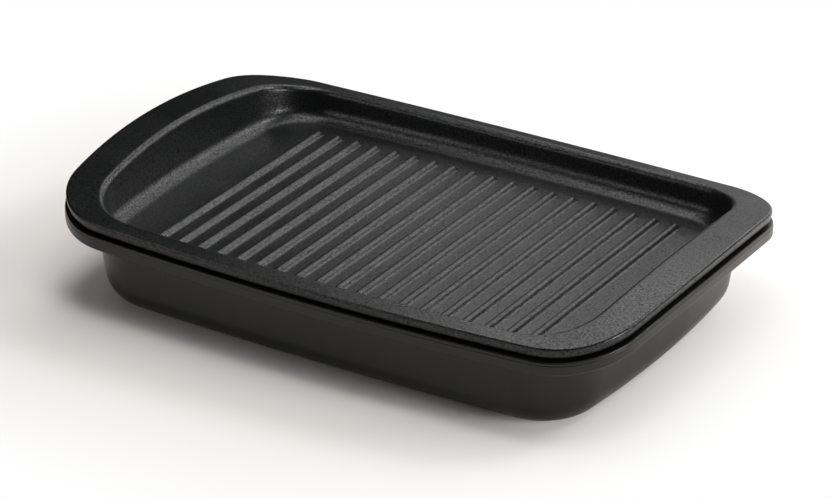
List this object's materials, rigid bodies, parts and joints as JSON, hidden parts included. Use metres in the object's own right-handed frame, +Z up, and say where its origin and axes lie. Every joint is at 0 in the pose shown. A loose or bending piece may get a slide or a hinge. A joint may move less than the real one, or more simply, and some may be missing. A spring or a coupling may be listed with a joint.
{
  "type": "roasting pan with griddle lid",
  "caption": "Deep roasting pan with arched end grips, covered by a griddle plate with a ribbed well that seats in the pan's mouth, both in black-coated cast metal.",
  "frame": {"origin": "on the surface that the pan stands on, under the middle of the pan", "axes": "+X along the length towards one grip, +Y across, +Z up"},
  "size_m": [0.402, 0.258, 0.0765],
  "materials": {
    "pan_coating": "smooth satin black non-stick coating on cast aluminium",
    "plate_coating": "fine-grained matt black non-stick coating on cast aluminium"
  },
  "bodies": {
    "pan": {"roasting_pan": "pan_coating"},
    "plate": {"griddle_plate": "plate_coating"}
  },
  "joints": [
    {"name": "plate_lift", "type": "slide", "parent": "pan", "child": "plate", "axis": [0, 0, 1], "range_m": [0, 0.12]}
  ]
}
